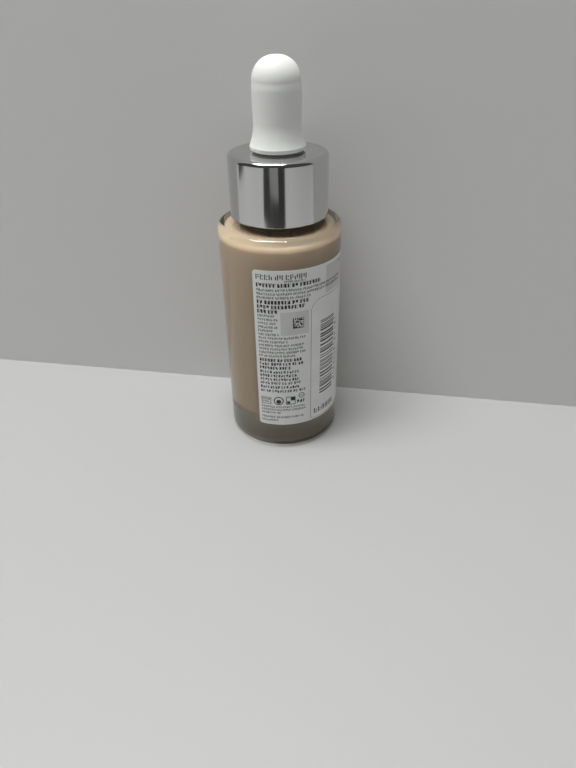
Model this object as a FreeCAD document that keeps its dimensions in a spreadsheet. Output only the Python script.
import FreeCAD, Part
import math
import os
import re

import Sketcher

# A 30 ml foundation bottle with a screw-on dropper. Millimetres, +Z up, and the origin is the
# middle of the foot. The bottle's axis is Z and its labels face -Y.
# An angle round the bottle is counted from +X towards +Y.

SIZES = [
    # name, value, what it is
    ("bottle_radius", 17.0, "outside of the glass body"),
    ("bottle_foot_round", 2.0, "round between the foot and the side"),
    ("bottle_shoulder", 67.4, "height of the flat shoulder"),
    ("bottle_shoulder_round", 1.5, "round between the side and the shoulder"),
    ("cavity_radius", 15.0, "inside of the glass body"),
    ("cavity_floor", 8.8, "top of the thick glass base"),
    ("cavity_floor_round", 2.6, "round at the floor of the cavity"),
    ("cavity_roof", 64.9, "underside of the shoulder"),
    ("cavity_roof_round", 1.6, "round at the roof of the cavity"),
    ("punt_radius", 12.5, "edge of the hollow under the foot"),
    ("punt_depth", 1.0, "depth of the hollow under the foot"),
    ("neck_radius", 9.0, "outside of the neck"),
    ("neck_root_round", 0.9, "round where the neck meets the shoulder"),
    ("neck_bore", 6.3, "inside of the neck"),
    ("neck_root_bore_round", 1.4, "round where the bore opens into the cavity"),
    ("neck_lip", 80.4, "height of the neck's lip"),
    ("neck_lip_round", 0.45, "rounds on the lip"),
    ("bead_radius", 9.7, "outside of the bead below the thread"),
    ("bead_low", 69.8, "lower edge of the bead"),
    ("bead_top", 71.0, "upper edge of the bead"),
    ("thread_pitch", 3.0, "rise of the thread in one turn"),
    ("thread_turns", 1.5, "turns of thread"),
    ("thread_low", 73.0, "middle of the neck thread where it starts"),
    ("neck_thread_crest", 9.85, "outside of the neck thread"),
    ("cap_thread_crest", 10.0, "inside of the cap thread"),
    ("thread_root_width", 1.5, "width of a thread at its root"),
    ("thread_crest_width", 0.7, "width of a thread at its crest"),
    ("thread_bury", 0.2, "how far a thread reaches into its wall"),
    ("fill_gap", 0.05, "between the fluid and the glass"),
    ("fill_hole", 3.9, "radius of the space round the pipette in the fluid"),
    ("fill_tip_room", 0.5, "space round and below the pipette's tip in the fluid"),
    ("wiper_radius", 6.25, "outside of the wiper's sleeve"),
    ("wiper_wall", 0.9, "wall of the wiper's sleeve"),
    ("wiper_flange", 8.3, "outside of the wiper's flange"),
    ("wiper_flange_thick", 0.5, "thickness of the wiper's flange"),
    ("wiper_foot", 71.4, "lower end of the wiper"),
    ("wiper_funnel", 74.0, "where the sleeve starts to close in"),
    ("wiper_lip", 3.7, "radius of the hole that wipes the pipette"),
    ("wiper_lip_thick", 0.7, "length of that hole"),
    ("pipette_radius", 3.5, "outside of the pipette"),
    ("pipette_bore", 2.5, "inside of the pipette"),
    ("pipette_top", 86.2, "upper end of the pipette"),
    ("pipette_bead", 3.95, "outside of the bead at its upper end"),
    ("pipette_bead_long", 0.9, "length of that bead"),
    ("pipette_taper", 24.0, "where the tube starts to narrow"),
    ("pipette_tip", 13.5, "lower end of the pipette"),
    ("pipette_tip_radius", 1.9, "outside of the tip"),
    ("pipette_tip_bore", 1.0, "inside of the tip"),
    ("charge_gap", 0.03, "between the fluid in the tube and the tube"),
    ("charge_level", 62.0, "height of the fluid in the tube"),
    ("bulb_flange", 8.3, "outside of the bulb's flange"),
    ("bulb_flange_low", 80.95, "underside of the flange"),
    ("bulb_flange_top", 82.7, "top of the flange"),
    ("bulb_neck", 5.55, "the bulb's neck where it passes through the cap"),
    ("bulb_grip", 3.53, "the bore that grips the pipette"),
    ("bulb_grip_top", 85.2, "top of that bore"),
    ("bulb_inside", 4.5, "inside of the bulb"),
    ("bulb_inside_taper", 86.0, "where the inside reaches its full width"),
    ("bulb_inside_top", 104.7, "top of the hollow inside"),
    ("bulb_under", 85.5, "underside of the rim"),
    ("bulb_under_radius", 6.5, "where the rim's underside ends"),
    ("bulb_rim", 7.18, "widest part of the rim"),
    ("bulb_rim_height", 86.5, "height of that"),
    ("bulb_rim_round", 0.85, "round of the rim's edge"),
    ("bulb_waist", 5.98, "narrowest part above the rim"),
    ("bulb_waist_height", 91.75, "height of that"),
    ("bulb_flare", 12.0, "radius of the curve from waist to rim"),
    ("bulb_barrel", 6.15, "widest part above the waist"),
    ("bulb_barrel_low", 97.4, "where the barrel reaches that"),
    ("bulb_barrel_top", 100.2, "top of the straight barrel"),
    ("bulb_dome", 5.98, "radius at the foot of the dome"),
    ("bulb_dome_low", 101.0, "foot of the dome"),
    ("bulb_top", 106.5, "top of the bulb"),
    ("cap_radius", 12.4, "outside of the inner cap"),
    ("cap_inside", 11.0, "inside of its skirt"),
    ("cap_low", 69.7, "lower edge of its skirt"),
    ("cap_stop", 80.8, "underside of the ledge round the flange"),
    ("cap_seat", 8.5, "inside of that ledge"),
    ("cap_roof", 82.75, "underside of its top"),
    ("cap_top", 84.3, "upper face of its top"),
    ("cap_hole", 5.7, "hole for the bulb's neck"),
    ("cap_edge", 0.5, "chamfer on its upper edge"),
    ("collar_radius", 13.14, "outside of the collar"),
    ("collar_wall", 0.64, "thickness of the collar's side and top"),
    ("collar_low", 69.1, "lower edge of the collar"),
    ("collar_top", 85.0, "top of the collar"),
    ("collar_round", 0.9, "round on its upper edge"),
    ("collar_inner_round", 0.3, "round inside that edge"),
    ("collar_hole", 6.2, "hole in its top"),
    ("label_thick", 0.08, "thickness of each label"),
    ("label_start", -116.0, "angle at which the back label starts"),
    ("label_span", 126.0, "angle that the back label covers"),
    ("label_low", 9.1, "lower edge of the back label"),
    ("label_top", 59.5, "upper edge of the back label"),
    ("label_corner", 1.0, "its corner radius"),
    ("leaf_start", -63.0, "angle at which the barcode label starts"),
    ("leaf_span", 70.0, "angle that the barcode label covers"),
    ("leaf_low", 9.5, "lower edge of the barcode label"),
    ("leaf_top", 50.2, "upper edge of the barcode label"),
    ("leaf_corner", 4.0, "its large upper corner"),
    ("cut_room", 1.0, "how far the corner's cut runs on past the bottle"),
]

document = FreeCAD.newDocument("foundation_bottle")
sizes = document.addObject("Spreadsheet::Sheet", "sizes")
for row, (name, number, meaning) in enumerate(SIZES, 1):
    sizes.set(f"A{row}", name)
    sizes.set(f"B{row}", str(number))
    sizes.setAlias(f"B{row}", name)
    sizes.set(f"C{row}", meaning)
document.recompute()


def linked(text):
    """The same sum with each cell named in full, as an object outside the sheet writes it."""
    return re.sub(r"[a-z][a-z_]*", lambda found: "sizes." + found.group(), text)


def value(text):
    """What a sum of cells comes to."""
    return float(sizes.evalExpression(text))


def origin_plane(body, role):
    return next(item for item in body.Origin.OriginFeatures if item.Role == role)


def arc_centre(start, end, bend):
    """The centre of the arc from start to end. bend is its radius, or "axis" for a dome whose
    centre is on the axis. A minus in front turns it to the right."""
    if bend.endswith("axis"):
        rise = end.y - start.y
        return FreeCAD.Vector(0, (end.dot(end) - start.dot(start)) / (2 * rise), 0)
    radius = value(bend)
    along = end - start
    to_left = FreeCAD.Vector(-along.y, along.x, 0).normalize()
    reach = math.sqrt(max(radius * radius - along.Length * along.Length / 4, 0))
    return start + along / 2 + to_left * math.copysign(reach, radius)


def add_arc(sketch, start, end, bend):
    """Draws an arc. Returns its number and its two ends in the order start, end."""
    centre = arc_centre(start, end, bend)
    circle = Part.Circle(centre, FreeCAD.Vector(0, 0, 1), (start - centre).Length)
    left = not bend.startswith("-")
    first, last = (start, end) if left else (end, start)
    arc = Part.ArcOfCircle(circle, circle.parameter(first), circle.parameter(last))
    return sketch.addGeometry(arc), ((1, 2) if left else (2, 1))


def pin_point(sketch, number, end, axis, kind, text):
    """Holds one end of a line at a distance from the origin, or on an axis where that is 0."""
    if text == "0":
        sketch.addConstraint(Sketcher.Constraint("PointOnObject", number, end, axis))
        return
    held = sketch.addConstraint(Sketcher.Constraint(kind, number, end, value(text)))
    sketch.setExpression(f"Constraints[{held}]", linked(text))


def pin_arc(sketch, number, bend):
    """Holds an arc's centre on the axis, or its radius at a sum of cells."""
    if bend == "axis":
        sketch.addConstraint(Sketcher.Constraint("PointOnObject", number, 3, -2))
        return
    held = sketch.addConstraint(Sketcher.Constraint("Radius", number, value(bend)))
    sketch.setExpression(f"Constraints[{held}]", linked(bend))


def outline_sketch(body, name, outline, plane="XZ_Plane"):
    """A closed outline in an upright plane of the body, run anticlockwise. A corner is (distance
    from the axis, height), both as sums of cells. A third entry bends the way to the next corner
    into an arc. It is the arc's radius, or "axis" for a dome centred on the axis. A plus turns
    left, as a round outside edge does, and a minus turns right."""
    sketch = body.newObject("Sketcher::SketchObject", name)
    sketch.AttachmentSupport = [(origin_plane(body, plane), "")]
    sketch.MapMode = "FlatFace"
    corners = [FreeCAD.Vector(value(entry[0]), value(entry[1]), 0) for entry in outline]
    pieces = []
    for index, entry in enumerate(outline):
        start = corners[index]
        end = corners[(index + 1) % len(corners)]
        if len(entry) == 2:
            pieces.append((sketch.addGeometry(Part.LineSegment(start, end)), (1, 2)))
        else:
            pieces.append(add_arc(sketch, start, end, entry[2]))
    for index, (number, ends) in enumerate(pieces):
        after, after_ends = pieces[(index + 1) % len(pieces)]
        joined = Sketcher.Constraint("Coincident", number, ends[1], after, after_ends[0])
        sketch.addConstraint(joined)
        pin_point(sketch, number, ends[0], -2, "DistanceX", outline[index][0])
        pin_point(sketch, number, ends[0], -1, "DistanceY", outline[index][1])
        if len(outline[index]) == 3:
            pin_arc(sketch, number, outline[index][2].lstrip("-"))
    return sketch


def turned_body(label, outline):
    """A body made as on a lathe: its outline turned once round the Z axis."""
    body = document.addObject("PartDesign::Body", label)
    body.Label = label
    sketch = outline_sketch(body, label + "_outline", outline)
    turn = body.newObject("PartDesign::Revolution", label + "_turn")
    turn.Profile = sketch
    turn.ReferenceAxis = (sketch, ["V_Axis"])
    turn.Angle = 360
    document.recompute()
    return body


def add_thread(body, root, crest):
    """A trapezoid ridge wound round the Z axis, from a wall's face at root out to crest."""
    outside = value(crest) > value(root)
    buried = f"{root} - thread_bury" if outside else f"{root} + thread_bury"
    ridge = [
        (buried, "thread_low - thread_root_width / 2"),
        (crest, "thread_low - thread_crest_width / 2"),
        (crest, "thread_low + thread_crest_width / 2"),
        (buried, "thread_low + thread_root_width / 2"),
    ]
    sketch = outline_sketch(body, body.Label + "_ridge", ridge)
    before = body.Shape.Volume
    thread = body.newObject("PartDesign::AdditiveHelix", body.Label + "_thread")
    thread.Profile = sketch
    thread.ReferenceAxis = (sketch, ["V_Axis"])
    thread.Mode = "pitch-turns-angle"
    thread.setExpression("Pitch", linked("thread_pitch"))
    thread.setExpression("Turns", linked("thread_turns"))
    document.recompute()
    print(f"{body.Label}: the thread adds {body.Shape.Volume - before:.1f} mm3")


def make_bottle():
    """Thick-based glass with a hollow under its foot, a flat shoulder and a threaded neck."""
    body = turned_body("glass_bottle", [
        ("0", "punt_depth", "-axis"),
        ("punt_radius", "0"),
        ("bottle_radius - bottle_foot_round", "0", "bottle_foot_round"),
        ("bottle_radius", "bottle_foot_round"),
        ("bottle_radius", "bottle_shoulder - bottle_shoulder_round", "bottle_shoulder_round"),
        ("bottle_radius - bottle_shoulder_round", "bottle_shoulder"),
        ("neck_radius + neck_root_round", "bottle_shoulder", "-neck_root_round"),
        ("neck_radius", "bottle_shoulder + neck_root_round"),
        ("neck_radius", "bead_low"),
        ("bead_radius", "bead_low + bead_radius - neck_radius"),
        ("bead_radius", "bead_top"),
        ("neck_radius", "bead_top"),
        ("neck_radius", "neck_lip - neck_lip_round", "neck_lip_round"),
        ("neck_radius - neck_lip_round", "neck_lip"),
        ("neck_bore + neck_lip_round", "neck_lip", "neck_lip_round"),
        ("neck_bore", "neck_lip - neck_lip_round"),
        ("neck_bore", "cavity_roof + neck_root_bore_round", "neck_root_bore_round"),
        ("neck_bore + neck_root_bore_round", "cavity_roof"),
        ("cavity_radius - cavity_roof_round", "cavity_roof", "-cavity_roof_round"),
        ("cavity_radius", "cavity_roof - cavity_roof_round"),
        ("cavity_radius", "cavity_floor + cavity_floor_round", "-cavity_floor_round"),
        ("cavity_radius - cavity_floor_round", "cavity_floor"),
        ("0", "cavity_floor"),
    ])
    add_thread(body, "neck_radius", "neck_thread_crest")
    return body


def make_fluid():
    """What fills the cavity up to the shoulder, with room for the pipette down its middle."""
    return turned_body("foundation_fluid", [
        ("0", "cavity_floor + fill_gap"),
        ("cavity_radius - cavity_floor_round", "cavity_floor + fill_gap",
         "cavity_floor_round - fill_gap"),
        ("cavity_radius - fill_gap", "cavity_floor + cavity_floor_round"),
        ("cavity_radius - fill_gap", "cavity_roof - cavity_roof_round",
         "cavity_roof_round - fill_gap"),
        ("cavity_radius - cavity_roof_round", "cavity_roof - fill_gap"),
        ("fill_hole", "cavity_roof - fill_gap"),
        ("fill_hole", "pipette_taper"),
        ("pipette_tip_radius + fill_tip_room", "pipette_tip - fill_tip_room"),
        ("0", "pipette_tip - fill_tip_room"),
    ])


def make_wiper():
    """A soft sleeve in the neck, with a flange on the lip and a hole that wipes the pipette."""
    return turned_body("neck_wiper", [
        ("wiper_lip", "wiper_foot"),
        ("wiper_lip + wiper_wall", "wiper_foot"),
        ("wiper_radius", "wiper_funnel"),
        ("wiper_radius", "neck_lip"),
        ("wiper_flange", "neck_lip"),
        ("wiper_flange", "neck_lip + wiper_flange_thick"),
        ("wiper_radius - wiper_wall", "neck_lip + wiper_flange_thick"),
        ("wiper_radius - wiper_wall", "wiper_funnel"),
        ("wiper_lip", "wiper_foot + wiper_lip_thick"),
    ])


def make_pipette():
    """A glass tube with a bead at its upper end and a narrow tip."""
    return turned_body("glass_pipette", [
        ("pipette_tip_bore", "pipette_tip"),
        ("pipette_tip_radius", "pipette_tip"),
        ("pipette_radius", "pipette_taper"),
        ("pipette_radius", "pipette_top - pipette_bead_long"),
        ("pipette_bead", "pipette_top - pipette_bead_long / 2"),
        ("pipette_bead", "pipette_top - pipette_bead_long / 4"),
        ("pipette_radius", "pipette_top"),
        ("pipette_bore", "pipette_top"),
        ("pipette_bore", "pipette_taper"),
    ])


def make_charge():
    """The fluid that stands inside the tube."""
    return turned_body("pipette_fluid", [
        ("0", "pipette_tip"),
        ("pipette_tip_bore - charge_gap", "pipette_tip"),
        ("pipette_bore - charge_gap", "pipette_taper"),
        ("pipette_bore - charge_gap", "charge_level"),
        ("0", "charge_level"),
    ])


def make_bulb():
    """A hollow rubber bulb: a flange under the cap, a neck through it, and the squeezed part."""
    return turned_body("rubber_bulb", [
        ("bulb_grip", "bulb_flange_low"),
        ("bulb_flange", "bulb_flange_low"),
        ("bulb_flange", "bulb_flange_top"),
        ("bulb_neck", "bulb_flange_top"),
        ("bulb_neck", "bulb_under"),
        ("bulb_under_radius", "bulb_under", "bulb_rim_round"),
        ("bulb_rim", "bulb_rim_height", "-bulb_flare"),
        ("bulb_waist", "bulb_waist_height"),
        ("bulb_barrel", "bulb_barrel_low"),
        ("bulb_barrel", "bulb_barrel_top"),
        ("bulb_dome", "bulb_dome_low", "axis"),
        ("0", "bulb_top"),
        ("0", "bulb_inside_top", "-axis"),
        ("bulb_inside", "bulb_inside_top - bulb_inside"),
        ("bulb_inside", "bulb_inside_taper"),
        ("bulb_grip", "bulb_grip_top"),
    ])


def make_inner_cap():
    """The threaded closure, with a ledge that holds the bulb's flange down on the wiper."""
    body = turned_body("inner_cap", [
        ("cap_inside", "cap_low"),
        ("cap_radius", "cap_low"),
        ("cap_radius", "cap_top - cap_edge"),
        ("cap_radius - cap_edge", "cap_top"),
        ("cap_hole", "cap_top"),
        ("cap_hole", "cap_roof"),
        ("cap_seat", "cap_roof"),
        ("cap_seat", "cap_stop"),
        ("cap_inside", "cap_stop"),
    ])
    add_thread(body, "cap_inside", "cap_thread_crest")
    return body


def make_collar():
    """The drawn metal sleeve over the inner cap."""
    return turned_body("collar_shell", [
        ("collar_radius - collar_wall", "collar_low"),
        ("collar_radius", "collar_low"),
        ("collar_radius", "collar_top - collar_round", "collar_round"),
        ("collar_radius - collar_round", "collar_top"),
        ("collar_hole", "collar_top"),
        ("collar_hole", "collar_top - collar_wall"),
        ("collar_radius - collar_wall - collar_inner_round", "collar_top - collar_wall",
         "-collar_inner_round"),
        ("collar_radius - collar_wall", "collar_top - collar_wall - collar_inner_round"),
    ])


SAME_PLACE = 0.01


def corner_edges(shape, degrees, height):
    """The short edge across a label's thickness at one of its corners."""
    angle = math.radians(degrees)
    outward = FreeCAD.Vector(math.cos(angle), math.sin(angle), 0)
    found = []
    for number, edge in enumerate(shape.Edges, 1):
        middle = edge.CenterOfMass
        off_corner = middle - outward * middle.dot(outward) - FreeCAD.Vector(0, 0, height)
        if edge.Length < 2 * value("label_thick") and off_corner.Length < SAME_PLACE:
            found.append(f"Edge{number}")
    return found


def make_sheet(label, inside, start, span, low, top):
    """A thin sheet that wraps part of the way round the bottle, anticlockwise from start."""
    body = document.addObject("PartDesign::Body", label)
    body.Label = label
    sketch = outline_sketch(body, label + "_outline", [
        (inside, low),
        (f"{inside} + label_thick", low),
        (f"{inside} + label_thick", top),
        (inside, top),
    ])
    turn = body.newObject("PartDesign::Revolution", label + "_turn")
    turn.Profile = sketch
    turn.ReferenceAxis = (sketch, ["V_Axis"])
    turn.setExpression("Angle", linked(span))
    turning = FreeCAD.Rotation(FreeCAD.Vector(0, 0, 1), value(start))
    body.Placement = FreeCAD.Placement(FreeCAD.Vector(), turning)
    document.recompute()
    return body


def round_corners(body, corners):
    """Rounds small corners of a sheet, each given as (angle from its start, height)."""
    for index, (degrees, height) in enumerate(corners):
        base = body.Tip
        rounded = body.newObject("PartDesign::Fillet", f"{body.Label}_corner_{index}")
        rounded.Base = (base, corner_edges(base.Shape, value(degrees), value(height)))
        rounded.setExpression("Radius", linked("label_corner"))
        body.Tip = rounded
        document.recompute()


def cut_large_corner(body, top, corner):
    """Cuts the upper corner at a sheet's start to a radius too large for a fillet."""
    sketch = outline_sketch(body, body.Label + "_waste", [
        ("-label_corner", f"{top} - {corner}"),
        ("0", f"{top} - {corner}", f"-{corner}"),
        (corner, top),
        (corner, f"{top} + label_corner"),
        ("-label_corner", f"{top} + label_corner"),
    ], "YZ_Plane")
    before = body.Shape.Volume
    cut = body.newObject("PartDesign::Pocket", body.Label + "_large_corner")
    cut.Profile = sketch
    cut.Type = "Length"
    cut.Reversed = True
    cut.setExpression("Length", linked("bottle_radius + cut_room"))
    document.recompute()
    print(f"{body.Label}: the large corner takes off {before - body.Shape.Volume:.3f} mm3")


def make_labels():
    """The back label, and the barcode label stuck over its right half."""
    back = make_sheet("back_label", "bottle_radius", "label_start", "label_span",
                      "label_low", "label_top")
    round_corners(back, [("0", "label_low"), ("0", "label_top"),
                         ("label_span", "label_low"), ("label_span", "label_top")])
    leaf = make_sheet("barcode_label", "bottle_radius + label_thick", "leaf_start", "leaf_span",
                      "leaf_low", "leaf_top")
    round_corners(leaf, [("0", "leaf_low"), ("leaf_span", "leaf_low"),
                         ("leaf_span", "leaf_top")])
    cut_large_corner(leaf, "leaf_top", "leaf_corner")
    return [back, leaf]


parts = [make_bottle(), make_fluid(), make_wiper(), make_pipette(), make_charge(),
         make_bulb(), make_inner_cap(), make_collar()] + make_labels()
document.recompute()

for item in document.Objects:
    bad = [state for state in item.State if state in ("Invalid", "Error")]
    if bad:
        raise RuntimeError(f"{item.Label} is {bad}")
for part in parts:
    if part.Shape.isNull() or not part.Shape.isValid():
        raise RuntimeError(f"{part.Label} has no valid shape")

os.makedirs("parts", exist_ok=True)
for part in parts:
    part.Shape.exportStep(f"parts/{part.Label}.step")
    box = part.Shape.BoundBox
    print(f"{part.Label}: {part.Shape.Volume / 1000:.3f} ml, {len(part.Shape.Solids)} solid, "
          f"z {box.ZMin:.2f} to {box.ZMax:.2f}, widest {max(box.XLength, box.YLength):.2f}")
